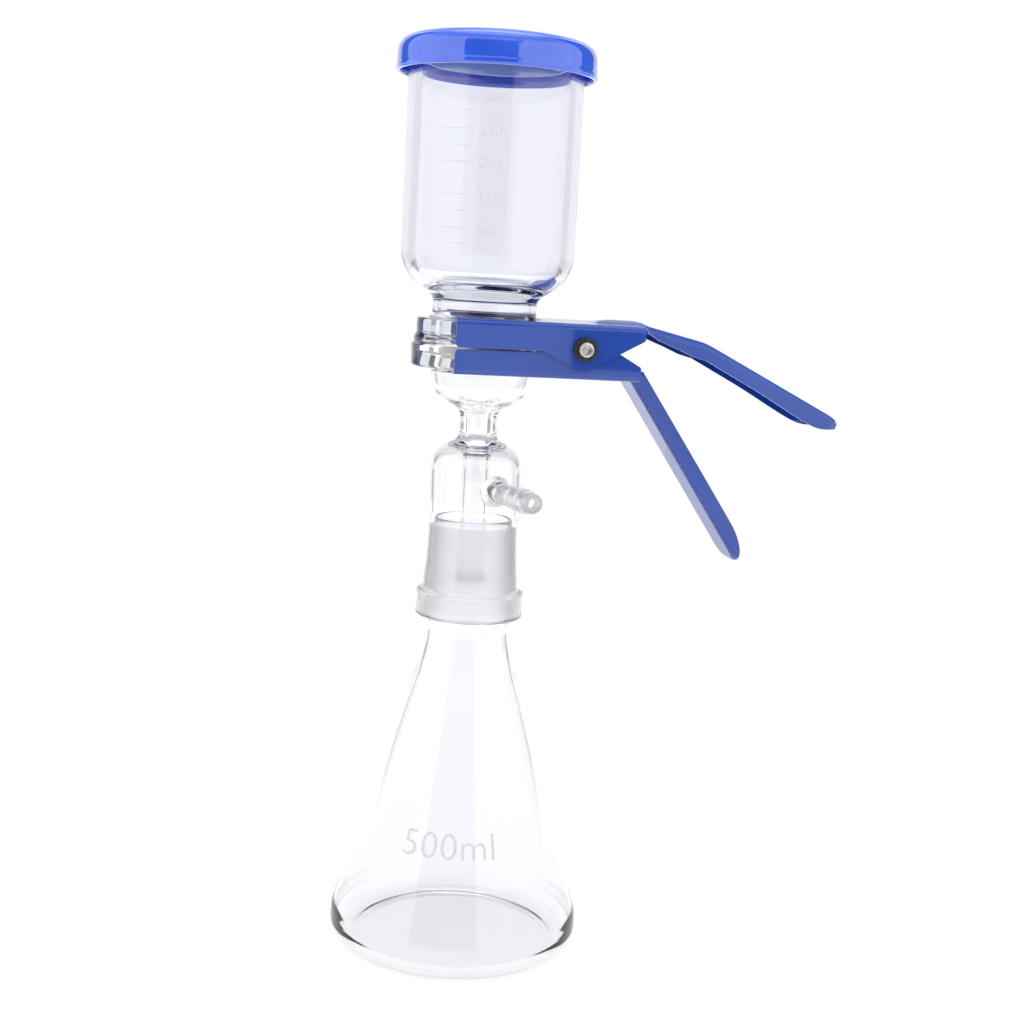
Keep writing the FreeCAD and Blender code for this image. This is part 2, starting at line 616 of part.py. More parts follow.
# pivot --------------------------------------------------------------------
W_T = 1.5
Y_W0 = UP_HALF + 0.1          # washer, inner face
Y_W1 = Y_W0 + W_T             # washer, outer face


def turned_y(pts_edges):
    """Turned about Y: outline given as (radius, y)."""
    s = turned(pts_edges)
    s.rotate(V(0, 0, 0), V(1, 0, 0), -90)     # +Z -> +Y
    s.translate(V(PIVOT_X, 0, PIVOT_Z))
    return s


YN = -(Y_W1 + 0.05)           # near head seat
YF = Y_W1 + 0.05
pin = turned_y([
    line((0, YF + 1.5), (0, YN + 1.0)),
    line((0, YN + 1.0), (0.5, YN + 1.0)),
    line((0.5, YN + 1.0), (1.15, YN + 0.6)),
    line((1.15, YN + 0.6), (1.75, YN + 0.6)),
    line((1.75, YN + 0.6), (2.05, YN - 1.1)),
    arc((2.05, YN - 1.1), (2.6, YN - 1.95), (3.25, YN - 1.1)),
    line((3.25, YN - 1.1), (3.35, YN)),
    line((3.35, YN), (PIN_R, YN)),
    line((PIN_R, YN), (PIN_R, YF)),
    line((PIN_R, YF), (3.5, YF)),
    line((3.5, YF), (3.5, YF + 0.4)),
    arc((3.5, YF + 0.4), (2.3, YF + 1.15), (0.8, YF + 1.5)),
    line((0.8, YF + 1.5), (0, YF + 1.5)),
])
save(pin, "pivot_pin")


def washer(y0, y1):
    w = Part.makeCylinder(5.3, y1 - y0, V(PIVOT_X, y0, PIVOT_Z), V(0, 1, 0))
    w = w.cut(Part.makeCylinder(2.5, 60, V(PIVOT_X, y0 - 5, PIVOT_Z), V(0, 1, 0)))
    outer = [e for e in w.Edges if abs(e.BoundBox.ZLength - 10.6) < 1e-3 and e.BoundBox.YLength < 1e-6]
    return w.makeFillet(0.45, outer)


save(washer(-Y_W1, -Y_W0), "washer_near")
save(washer(Y_W0, Y_W1), "washer_far")

# torsion spring -----------------------------------------------------------
WIRE, COIL_R, TURNS, PITCH = 0.8, 4.1, 5.5, 1.9
LEN = TURNS * PITCH
hx = Part.makeHelix(PITCH, LEN, COIL_R)
sec = Part.Wire([Part.makeCircle(WIRE, V(COIL_R, 0, 0), V(0, 2 * math.pi * COIL_R, PITCH))])
coil = Part.Wire(hx).makePipeShell([sec], True, True)
coil.translate(V(0, 0, -LEN / 2))
coil.rotate(V(0, 0, 0), V(1, 0, 0), -90)          # coil axis along Y
# one end of the wire under the pin, the other over it, both heading to +X
coil.rotate(V(0, 0, 0), V(0, 1, 0), 90)
p_low = V(0, -LEN / 2, -COIL_R)
p_top = V(0, LEN / 2, COIL_R)


def leg(p, tip):
    d = tip.sub(p)
    d.normalize()
    a = p.sub(V(d).multiply(0.5))
    return Part.makeCylinder(WIRE * 0.995, tip.sub(a).Length, a, d)


low_tip = V(22.5, -LEN / 2 - 0.3, JAW_BOT + SHEET + WIRE + 0.4 - PIVOT_Z)
top_tip = V(23.5, LEN / 2 + 0.3, JAW_TOP - SHEET - WIRE - 0.5 - PIVOT_Z)
print("coil ends", [tuple(round(c, 2) for c in v.Point) for v in coil.Vertexes][:4])
spring = coil.fuse(leg(p_low, low_tip))
spring = spring.fuse(leg(p_top, top_tip))
spring.translate(V(PIVOT_X, 0, PIVOT_Z))
save(spring, "torsion_spring")
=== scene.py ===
import bpy
import bmesh
import math
import numpy as np
from mathutils import Matrix, Vector


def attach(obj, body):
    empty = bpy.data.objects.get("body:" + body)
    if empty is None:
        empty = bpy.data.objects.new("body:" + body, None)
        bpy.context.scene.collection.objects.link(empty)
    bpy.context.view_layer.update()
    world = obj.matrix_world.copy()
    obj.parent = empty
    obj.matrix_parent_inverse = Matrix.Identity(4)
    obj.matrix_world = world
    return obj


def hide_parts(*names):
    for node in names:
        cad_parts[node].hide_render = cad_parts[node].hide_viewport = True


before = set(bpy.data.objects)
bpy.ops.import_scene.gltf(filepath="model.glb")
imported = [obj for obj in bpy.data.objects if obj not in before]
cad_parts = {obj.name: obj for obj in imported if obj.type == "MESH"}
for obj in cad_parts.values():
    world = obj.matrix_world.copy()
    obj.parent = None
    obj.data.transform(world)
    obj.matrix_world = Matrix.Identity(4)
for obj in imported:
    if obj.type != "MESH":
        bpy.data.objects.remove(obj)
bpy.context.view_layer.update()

MM = 0.001
SEG = 192

# =====================================================================
# profile helpers: the glass is turned, so every wall is a closed outline
# in (r, z) millimetres, spun about the common axis
# =====================================================================


def p_line(a, b):
    return [a, b]


def p_arc(a, m, b, n=9):
    ax, ay = a
    bx, by = m
    cx, cy = b
    d = 2 * (ax * (by - cy) + bx * (cy - ay) + cx * (ay - by))
    ux = ((ax**2 + ay**2) * (by - cy) + (bx**2 + by**2) * (cy - ay) + (cx**2 + cy**2) * (ay - by)) / d
    uy = ((ax**2 + ay**2) * (cx - bx) + (bx**2 + by**2) * (ax - cx) + (cx**2 + cy**2) * (bx - ax)) / d
    a0 = math.atan2(ay - uy, ax - ux)
    a1 = math.atan2(by - uy, bx - ux)
    a2 = math.atan2(cy - uy, cx - ux)
    R = math.hypot(ax - ux, ay - uy)
    tau = 2 * math.pi
    d1 = (a1 - a0) % tau
    d2 = (a2 - a0) % tau
    if d1 > d2:
        d2 -= tau
    return [(ux + R * math.cos(a0 + d2 * i / n), uy + R * math.sin(a0 + d2 * i / n)) for i in range(n + 1)]


def p_spline(pts, t0=None, t1=None, step=0.9):
    """Cubic through pts, chord-length parameter, clamped to the end tangents when given."""
    P = np.array(pts, float)
    h = np.linalg.norm(np.diff(P, axis=0), axis=1)
    n = len(P)
    A = np.zeros((n, n))
    B = np.zeros((n, 2))
    for i in range(1, n - 1):
        A[i, i - 1] = h[i]
        A[i, i] = 2 * (h[i - 1] + h[i])
        A[i, i + 1] = h[i - 1]
        B[i] = 3 * (h[i] / h[i - 1] * (P[i] - P[i - 1]) + h[i - 1] / h[i] * (P[i + 1] - P[i]))
    if t0 is None:
        A[0, 0], A[0, 1] = 2, 1
        B[0] = 3 * (P[1] - P[0]) / h[0]
        A[-1, -1], A[-1, -2] = 2, 1
        B[-1] = 3 * (P[-1] - P[-2]) / h[-1]
    else:
        A[0, 0] = A[-1, -1] = 1
        B[0] = np.array(t0, float) / np.linalg.norm(t0)
        B[-1] = np.array(t1, float) / np.linalg.norm(t1)
    D = np.linalg.solve(A, B)
    out = [tuple(P[0])]
    for i in range(n - 1):
        k = max(2, int(math.ceil(h[i] / step)))
        for j in range(1, k + 1):
            t = j / k
            a = 2 * t**3 - 3 * t**2 + 1
            b = t**3 - 2 * t**2 + t
            c = -2 * t**3 + 3 * t**2
            d = t**3 - t**2
            q = a * P[i] + b * h[i] * D[i] + c * P[i + 1] + d * h[i] * D[i + 1]
            out.append((float(q[0]), float(q[1])))
    return out


def chain(*parts):
    out = []
    for part in parts:
        for p in part:
            if not out or math.hypot(out[-1][0] - p[0], out[-1][1] - p[1]) > 1e-4:
                out.append((float(p[0]), float(p[1])))
    return out


def soften(points, closed, radius, limit=26.0):
    """Round every corner of the outline that is sharper than limit degrees."""
    n = len(points)
    out = []
    for i in range(n):
        b = points[i]
        if not closed and i in (0, n - 1):
            out.append(b)
            continue
        a, c = points[i - 1], points[(i + 1) % n]
        u = (a[0] - b[0], a[1] - b[1])
        v = (c[0] - b[0], c[1] - b[1])
        lu, lv = math.hypot(*u), math.hypot(*v)
        cosw = max(-1, min(1, (u[0] * v[0] + u[1] * v[1]) / (lu * lv)))
        w = math.acos(cosw)
        if math.degrees(math.pi - w) < limit or b[0] < 0.5:
            out.append(b)
            continue
        d = min(radius / math.tan(w / 2), 0.45 * lu, 0.45 * lv)
        r = d * math.tan(w / 2)
        s = (b[0] + u[0] / lu * d, b[1] + u[1] / lu * d)
        e = (b[0] + v[0] / lv * d, b[1] + v[1] / lv * d)
        mx, my = u[0] / lu + v[0] / lv, u[1] / lu + v[1] / lv
        lm = math.hypot(mx, my)
        hh = r / math.sin(w / 2)
        o = (b[0] + mx / lm * hh, b[1] + my / lm * hh)
        m = (o[0] - mx / lm * r, o[1] - my / lm * r)
        out.extend(p_arc(s, m, e, 4))
    return out


def refine(points, closed, longest):
    """Split long straight runs of an outline."""
    out = []
    n = len(points)
    for i in range(n if closed else n - 1):
        a, b = points[i], points[(i + 1) % n]
        k = max(1, int(math.ceil(math.hypot(b[0] - a[0], b[1] - a[1]) / longest)))
        for j in range(k):
            out.append((a[0] + (b[0] - a[0]) * j / k, a[1] + (b[1] - a[1]) * j / k))
    if not closed:
        out.append(points[-1])
    return out


def lathe_data(points, seg=SEG):
    """(vertices, faces) of the outline spun about Z. An open outline has both ends on the axis."""
    closed = not (points[0][0] < 1e-3 and points[-1][0] < 1e-3)
    verts, rings = [], []
    for r, z in points:
        if r < 1e-3:
            rings.append([len(verts)])
            verts.append((0, 0, z * MM))
        else:
            rings.append(list(range(len(verts), len(verts) + seg)))
            for k in range(seg):
                t = 2 * math.pi * k / seg
                verts.append((r * math.cos(t) * MM, r * math.sin(t) * MM, z * MM))
    area = 0.0
    n = len(points)
    for i in range(n):
        a, b = points[i], points[(i + 1) % n]
        area += a[0] * b[1] - b[0] * a[1]
    faces = []
    for i in range(n if closed else n - 1):
        A, B = rings[i], rings[(i + 1) % n]
        for k in range(seg):
            k2 = (k + 1) % seg
            if len(A) == 1 and len(B) == 1:
                continue
            if len(A) == 1:
                f = (A[0], B[k2], B[k])
            elif len(B) == 1:
                f = (A[k], A[k2], B[0])
            else:
                f = (A[k], A[k2], B[k2], B[k])
            faces.append(f if area > 0 else tuple(reversed(f)))
    return verts, faces


def new_object(name, verts, faces, smooth=True):
    me = bpy.data.meshes.new(name)
    me.from_pydata([tuple(v) for v in verts], [], [tuple(f) for f in faces])
    me.validate()
    me.update()
    ob = bpy.data.objects.new(name, me)
    bpy.context.scene.collection.objects.link(ob)
    if smooth:
        me.shade_smooth()
    return ob


def sharpen(ob, degrees):
    ob.data.set_sharp_from_angle(angle=math.radians(degrees))


def apply_modifiers(ob):
    bpy.context.view_layer.update()
    dg = bpy.context.evaluated_depsgraph_get()
    me = bpy.data.meshes.new_from_object(ob.evaluated_get(dg), preserve_all_data_layers=True, depsgraph=dg)
    old = ob.data
    ob.modifiers.clear()
    ob.data = me
    if old.users == 0:
        bpy.data.meshes.remove(old)


def outward(ob):
    bm = bmesh.new()
    bm.from_mesh(ob.data)
    bmesh.ops.recalc_face_normals(bm, faces=bm.faces)
    if bm.calc_volume(signed=True) < 0:
        bmesh.ops.reverse_faces(bm, faces=bm.faces)
    bm.to_mesh(ob.data)
    bm.free()


# =====================================================================
# materials
# =====================================================================


class Mat:
    """A node material with one Principled shader, and short ways to add nodes."""

    def __init__(self, name):
        self.m = bpy.data.materials.new(name)
        self.m.use_nodes = True
        self.t = self.m.node_tree
        self.t.nodes.clear()
        self.out = self.t.nodes.new("ShaderNodeOutputMaterial")
        self.p = self.t.nodes.new("ShaderNodeBsdfPrincipled")
        self.t.links.new(self.p.outputs[0], self.out.inputs[0])
        self.co = self.t.nodes.new("ShaderNodeTexCoord").outputs["Object"]

    def set(self, **kw):
        for k, v in kw.items():
            self.p.inputs[k.replace("_", " ")].default_value = v
        return self

    def link(self, a, b):
        self.t.links.new(a, b)

    def to(self, out, name):
        self.t.links.new(out, self.p.inputs[name])

    def node(self, kind, **inputs):
        n = self.t.nodes.new(kind)
        for k, v in inputs.items():
            s = n.inputs[k.replace("_", " ")]
            if isinstance(v, bpy.types.NodeSocket):
                self.t.links.new(v, s)
            else:
                s.default_value = v
        return n

    def math(self, op, a, b=0.0, c=0.0, clamp=False):
        n = self.t.nodes.new("ShaderNodeMath")
        n.operation = op
        n.use_clamp = clamp
        for i, v in enumerate((a, b, c)):
            if isinstance(v, bpy.types.NodeSocket):
                self.t.links.new(v, n.inputs[i])
            else:
                n.inputs[i].default_value = v
        return n.outputs[0]

    def xyz(self):
        n = self.node("ShaderNodeSeparateXYZ", Vector=self.co)
        return n.outputs[0], n.outputs[1], n.outputs[2]

    def scaled(self, x, y, z, loc=(0, 0, 0)):
        n = self.t.nodes.new("ShaderNodeMapping")
        n.inputs["Scale"].default_value = (x, y, z)
        n.inputs["Location"].default_value = loc
        self.link(self.co, n.inputs["Vector"])
        return n.outputs[0]

    def noise(self, vec, scale, detail=2.0, rough=0.5, dist=0.0):
        n = self.node("ShaderNodeTexNoise", Vector=vec, Scale=scale, Detail=detail, Roughness=rough, Distortion=dist)
        return n.outputs[0]

    def ramp(self, fac, lo, hi, a=0.0, b=1.0, smooth=True):
        n = self.t.nodes.new("ShaderNodeMapRange")
        n.interpolation_type = "SMOOTHSTEP" if smooth else "LINEAR"
        self.link(fac, n.inputs["Value"])
        n.inputs["From Min"].default_value = lo
        n.inputs["From Max"].default_value = hi
        n.inputs["To Min"].default_value = a
        n.inputs["To Max"].default_value = b
        return n.outputs[0]

    def mix(self, fac, a, b):
        n = self.t.nodes.new("ShaderNodeMix")
        n.data_type = "RGBA"
        self.link(fac, n.inputs[0])
        for s, v in ((n.inputs[6], a), (n.inputs[7], b)):
            if isinstance(v, bpy.types.NodeSocket):
                self.link(v, s)
            else:
                s.default_value = (*v, 1.0)
        return n.outputs[2]

    def bump(self, height, strength, distance, normal=None):
        n = self.node("ShaderNodeBump", Strength=strength, Distance=distance, Height=height)
        if normal is not None:
            self.link(normal, n.inputs["Normal"])
        return n.outputs[0]


def srgb(r, g, b):
    def f(c):
        c = c / 255.0
        return c / 12.92 if c <= 0.04045 else ((c + 0.055) / 1.055) ** 2.4
    return (f(r), f(g), f(b))


def glass_base(name, tint=(0.984, 0.985, 0.997), depth=None):
    m = Mat(name)
    if depth is not None:
        # the melt's own colour: the light left after the given length of glass
        v = m.t.nodes.new("ShaderNodeVolumeAbsorption")
        v.inputs["Color"].default_value = (*depth[1], 1.0)
        v.inputs["Density"].default_value = depth[0]
        m.t.links.new(v.outputs[0], m.out.inputs["Volume"])
    m.p.distribution = "MULTI_GGX"
    m.set(Transmission_Weight=1.0, IOR=1.473, Roughness=0.0)
    m.p.inputs["Base Color"].default_value = (*tint, 1.0)
    return m


def ground_mask(m, z0, z1, r_lo, r_hi):
    """1 on the ground band: z0..z1 mm and between two cones given as (r at z 158, slope)."""
    x, y, z = m.xyz()
    r = m.math("SQRT", m.math("ADD", m.math("MULTIPLY", x, x), m.math("MULTIPLY", y, y)))
    joint = m.math("SUBTRACT", 0.020, m.math("MULTIPLY", m.math("SUBTRACT", z, 0.158), 0.05))
    dr = m.math("SUBTRACT", r, joint)                     # metres outside the joint cone
    wob = m.math("MULTIPLY", m.math("SUBTRACT", m.noise(m.co, 160.0), 0.5), 0.0007)
    zz = m.math("ADD", z, wob)
    a = m.ramp(zz, (z0 - 0.25) * MM, (z0 + 0.25) * MM)
    b = m.ramp(zz, (z1 - 0.25) * MM, (z1 + 0.25) * MM, 1.0, 0.0)
    c = m.ramp(dr, r_lo * MM - 0.00003, r_lo * MM + 0.00003)
    d = m.ramp(dr, r_hi * MM - 0.00003, r_hi * MM + 0.00003, 1.0, 0.0)
    return m.math("MULTIPLY", m.math("MULTIPLY", a, b), m.math("MULTIPLY", c, d))


def clear_glass(name, tint, ground=None, barb_haze=False, depth=None):
    """Borosilicate: faint waviness from drawing and blowing, fine dust-like sparkle in
    the roughness, a ground band where one is given, and a flame-dulled hose barb."""
    m = glass_base(name, tint, depth)
    wave = m.noise(m.scaled(38, 38, 16), 1.0, 1.5, 0.45)
    haze = m.ramp(m.noise(m.scaled(1, 1, 1), 420.0, 3.0, 0.6), 0.60, 0.74, 0.0, 0.035)
    if ground is None:
        m.to(haze, "Roughness")
        m.to(m.bump(wave, 0.22, 0.00035), "Normal")
        return m.m
    mask = ground_mask(m, *ground)
    grit = m.noise(m.scaled(900, 900, 2600), 1.0, 3.0, 0.65)
    streak = m.noise(m.scaled(30, 30, 2400), 1.0, 2.0, 0.5)
    rough = m.math("ADD", m.math("MULTIPLY", m.math("ADD", 0.31, m.math("MULTIPLY", grit, 0.10)), mask), haze)
    if barb_haze:
        x, y, z = m.xyz()
        c, si = math.cos(BARB_AZ), math.sin(BARB_AZ)
        along = m.math("ADD", m.math("MULTIPLY", x, c), m.math("MULTIPLY", y, si))
        across = m.math("SUBTRACT", m.math("MULTIPLY", y, c), m.math("MULTIPLY", x, si))
        up = m.math("SUBTRACT", z, BARB_Z * MM)
        off = m.math("SQRT", m.math("ADD", m.math("MULTIPLY", across, across), m.math("MULTIPLY", up, up)))
        out = m.math("MULTIPLY", m.ramp(along, 0.0165, 0.0200), m.ramp(off, 0.0062, 0.0085, 1.0, 0.0))
        rough = m.math("ADD", rough, m.math("MULTIPLY", out, m.math("ADD", 0.16, m.math("MULTIPLY", grit, 0.14))))
        # the flame-worked seals at both ends of the stem
        seal = m.math("ADD", m.math("MULTIPLY", m.ramp(z, 0.2300, 0.2325), m.ramp(z, 0.2365, 0.2390, 1.0, 0.0)),
                      m.math("MULTIPLY", m.ramp(z, 0.2470, 0.2485), m.ramp(z, 0.2515, 0.2540, 1.0, 0.0)))
        rough = m.math("ADD", rough, m.math("MULTIPLY", seal, m.math("ADD", 0.05, m.math("MULTIPLY", grit, 0.10))))
    m.to(rough, "Roughness")
    g = m.math("MULTIPLY", m.math("ADD", grit, m.math("MULTIPLY", streak, 0.6)), mask)
    n1 = m.bump(wave, 0.22, 0.00035)
    m.to(m.bump(g, 0.05, 0.00005, n1), "Normal")
    return m.m


def paint_blue(name, tone=1.0):
    """Blue stoving lacquer on pressed sheet, with a faint orange peel, a few rubbed spots
    and a glossy clear top."""
    m = Mat(name)
    broad = m.noise(m.co, 24.0, 2.0, 0.5)
    fine = m.noise(m.co, 900.0, 3.0, 0.6)
    f = m.math("ADD", m.math("MULTIPLY", broad, 0.7), m.math("MULTIPLY", fine, 0.3))
    a = tuple(c * tone for c in (0.009, 0.055, 0.345))
    b = tuple(c * tone for c in (0.013, 0.066, 0.390))
    base = m.mix(m.ramp(f, 0.35, 0.65), a, b)
    m.to(base, "Base Color")
    rub = m.ramp(m.noise(m.scaled(70, 70, 40, (3.1, 0.4, 1.7)), 1.0, 4.0, 0.62), 0.52, 0.70, 0.0, 0.035)
    m.to(m.math("ADD", 0.16, rub), "Roughness")
    peel = m.noise(m.co, 620.0, 2.0, 0.5)
    dimple = m.noise(m.co, 60.0, 1.0, 0.5)
    n1 = m.bump(dimple, 0.02, 0.0008)
    m.to(m.bump(peel, 0.012, 0.00012, n1), "Normal")
    m.set(Coat_Weight=0.5, Coat_Roughness=0.02, Coat_IOR=2.1, IOR=1.5, Specular_IOR_Level=0.06)
    return m.m


def lid_plastic(name):
    """Soft blue polyethylene: slightly waxy, faint swirl under the surface, fine mould grain and glossy outside.
    Inside the skirt and under the top the blue is painted much paler: painted light and painted reflections on the
    shaded underside."""
    m = Mat(name)
    swirl = m.noise(m.scaled(22, 22, 60), 1.0, 3.0, 0.55, 1.2)
    a, b = (0.008, 0.092, 0.690), (0.016, 0.116, 0.770)
    skin = m.mix(m.ramp(swirl, 0.35, 0.68), a, b)
    x, y, z = m.xyz()
    r = m.math("SQRT", m.math("ADD", m.math("MULTIPLY", x, x), m.math("MULTIPLY", y, y)))
    # painted light: inside the skirt and under the top (r below 41.9 mm, z below 407.6 mm) the lid gets a much paler
    # blue, standing in for light and glass reflections on its shaded underside
    inside = m.math("MULTIPLY", m.ramp(r, 0.04175, 0.04205, 1.0, 0.0), m.ramp(z, 0.40745, 0.40775, 1.0, 0.0))
    painted_light_pale = m.mix(m.ramp(swirl, 0.35, 0.68), (0.30, 0.43, 0.97), (0.36, 0.50, 1.0))
    m.to(m.mix(inside, skin, painted_light_pale), "Base Color")
    m.to(m.ramp(m.noise(m.co, 240.0, 3.0, 0.6), 0.3, 0.75, 0.10, 0.16), "Roughness")
    grain = m.noise(m.co, 1500.0, 2.0, 0.5)
    sink = m.noise(m.co, 34.0, 1.0, 0.5)
    n1 = m.bump(sink, 0.12, 0.0010)
    m.to(m.bump(grain, 0.05, 0.00008, n1), "Normal")
    m.set(Subsurface_Weight=0.6, Subsurface_Scale=0.006, IOR=1.45, Specular_IOR_Level=0.3,
          Coat_Weight=1.0, Coat_IOR=2.0, Coat_Roughness=0.03)
    m.p.inputs["Subsurface Radius"].default_value = (0.25, 0.45, 1.0)
    return m.m


def nickel(name, radial=True):
    m = Mat(name)
    tone = m.noise(m.co, 300.0, 3.0, 0.6)
    m.to(m.mix(m.ramp(tone, 0.35, 0.7), (0.60, 0.60, 0.58), (0.80, 0.80, 0.79)), "Base Color")
    m.to(m.ramp(m.noise(m.co, 1100.0, 3.0, 0.6), 0.3, 0.7, 0.16, 0.34), "Roughness")
    m.to(m.bump(m.noise(m.co, 1700.0, 2.0, 0.5), 0.25, 0.00006), "Normal")
    m.set(Metallic=1.0)
    return m.m


def washer_black_and_shade(name):
    m = Mat(name)
    # black rubber washer; its near-black colour also stands in for the shade round the rivet head, so it is partly
    # painted shade
    m.to(m.mix(m.ramp(m.noise(m.co, 500.0, 3.0), 0.35, 0.7), (0.008, 0.008, 0.010), (0.022, 0.022, 0.026)), "Base Color")
    m.to(m.ramp(m.noise(m.co, 900.0, 2.0), 0.3, 0.7, 0.34, 0.52), "Roughness")
    m.to(m.bump(m.noise(m.co, 1300.0, 3.0, 0.6), 0.3, 0.00008), "Normal")
    return m.m


def spring_steel(name):
    m = Mat(name)
    m.to(m.mix(m.ramp(m.noise(m.co, 260.0, 3.0), 0.35, 0.7), (0.30, 0.29, 0.27), (0.52, 0.51, 0.49)), "Base Color")
    m.to(m.ramp(m.noise(m.scaled(900, 300, 900), 1.0, 2.0), 0.3, 0.7, 0.22, 0.42), "Roughness")
    m.to(m.bump(m.noise(m.co, 1500.0, 2.0), 0.3, 0.00006), "Normal")
    m.set(Metallic=1.0)
    return m.m


def sintered(name):
    """Fused glass grains: white, pitted, slightly translucent."""
    m = Mat(name)
    v = m.node("ShaderNodeTexVoronoi", Vector=m.co, Scale=1600.0).outputs[0]
    n = m.noise(m.co, 700.0, 4.0, 0.7)
    f = m.math("ADD", m.math("MULTIPLY", v, 0.6), m.math("MULTIPLY", n, 0.5))
    m.to(m.mix(m.ramp(f, 0.3, 0.8), (0.70, 0.71, 0.72), (0.90, 0.90, 0.90)), "Base Color")
    m.to(m.ramp(n, 0.3, 0.7, 0.55, 0.85), "Roughness")
    m.to(m.bump(f, 0.6, 0.00025), "Normal")
    m.set(Subsurface_Weight=0.3, Subsurface_Scale=0.002, Specular_IOR_Level=0.4)
    return m.m


def enamel_print(name, lo, hi):
    """Fired ceramic ink: matt, slightly uneven, thin at places."""
    m = Mat(name)
    n = m.noise(m.co, 1200.0, 3.0, 0.65)
    m.to(m.mix(m.ramp(n, 0.3, 0.72), lo, hi), "Base Color")
    m.to(m.ramp(n, 0.3, 0.7, 0.5, 0.75), "Roughness")
    m.to(m.bump(n, 0.3, 0.00005), "Normal")
    return m.m


BARB_AZ, BARB_Z, BARB_TIP, BARB_R, BARB_BORE = math.radians(-74.3), 214.3, 57.9, 4.6, 2.7

MAT_FLASK = clear_glass("glass_flask", (0.958, 0.955, 0.980), (158.2, 196.2, -0.6, 0.3))
MAT_HEAD = clear_glass("glass_head", (0.993, 0.993, 0.999), (155.2, 196.8, -0.3, 0.16), True)
MAT_FUNNEL = clear_glass("glass_funnel", (0.966, 0.968, 0.992), depth=(80.0, (0.904, 0.908, 0.945)))
MAT_LID = lid_plastic("lid_plastic_blue")
MAT_UP = paint_blue("clamp_enamel_upper")
MAT_LOW = paint_blue("clamp_enamel_lower", 1.0)
MAT_PIN = nickel("rivet_nickel")
MAT_WASHER_AND_SHADE = washer_black_and_shade("washer_rubber_and_shade")
MAT_SPRING = spring_steel("spring_steel_wire")
MAT_DISC = sintered("sintered_frit")
MAT_PRINT = enamel_print("print_scale", (0.60, 0.60, 0.62), (0.74, 0.74, 0.76))
MAT_PRINT_F = enamel_print("print_flask", (0.56, 0.56, 0.59), (0.70, 0.70, 0.73))


def wear(ob, mat):
    ob.data.materials.clear()
    ob.data.materials.append(mat)


# =====================================================================
# glass pieces
# =====================================================================
JOINT_R, JOINT_Z0 = 20.0, 158.0


def joint_r(z):
    return JOINT_R - 0.05 * (z - JOINT_Z0)


def bore_r(z):
    return joint_r(z) + 0.04


flask_pts = chain(
    p_spline([(0.0, 1.3), (24.0, 1.0), (44.6, 0.35), (46.8, 0.02)], step=3.0),
    p_line((46.8, 0.02), (49.0, 0.02)),
    p_spline([(49.0, 0.02), (52.6, 0.75), (55.7, 3.1), (57.3, 6.4), (57.56, 9.8), (57.43, 13.2), (57.0, 16.0)],
             (1, 0), (-0.293, 0.956), 0.6),
    p_line((57.0, 16.0), (24.1, 123.4)),
    p_spline([(24.1, 123.4), (22.2, 130.2), (20.7, 137.6), (19.7, 145.0), (19.4, 151.0)],
             (-0.293, 0.956), (0, 1)),
    p_line((19.4, 151.0), (19.4, 153.6)),
    p_line((19.4, 153.6), (20.0, 158.0)),
    p_line((20.0, 158.0), (joint_r(196.0), 196.0)),
    p_line((joint_r(196.0), 196.0), (17.95, 198.6)),
    p_arc((17.95, 198.6), (17.0, 199.58), (16.05, 198.6), 10),
    p_line((16.05, 198.6), (15.9, 195.0)),
    p_line((15.9, 195.0), (17.3, 158.0)),
    p_line((17.3, 158.0), (17.3, 151.0)),
    p_spline([(17.3, 151.0), (17.6, 145.0), (18.5, 138.0), (20.0, 130.8), (22.1, 123.0)],
             (0, -1), (0.293, -0.956)),
    p_line((22.1, 123.0), (54.8, 17.0)),
    p_spline([(54.8, 17.0), (55.2, 13.0), (54.9, 9.4), (53.2, 6.0), (50.2, 3.7), (46.5, 2.8)],
             (0.293, -0.956), (-1, -0.04), 0.6),
    p_spline([(46.5, 2.8), (24.0, 2.95), (0.0, 3.3)], (-1, 0.0), (-1, 0.0), 3.0),
)
flask_pts = refine(soften(flask_pts, False, 0.5), False, 9.0)
flask = new_object("receiving_flask", *lathe_data(flask_pts))
wear(flask, MAT_FLASK)
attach(flask, "unit")
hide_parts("flask")

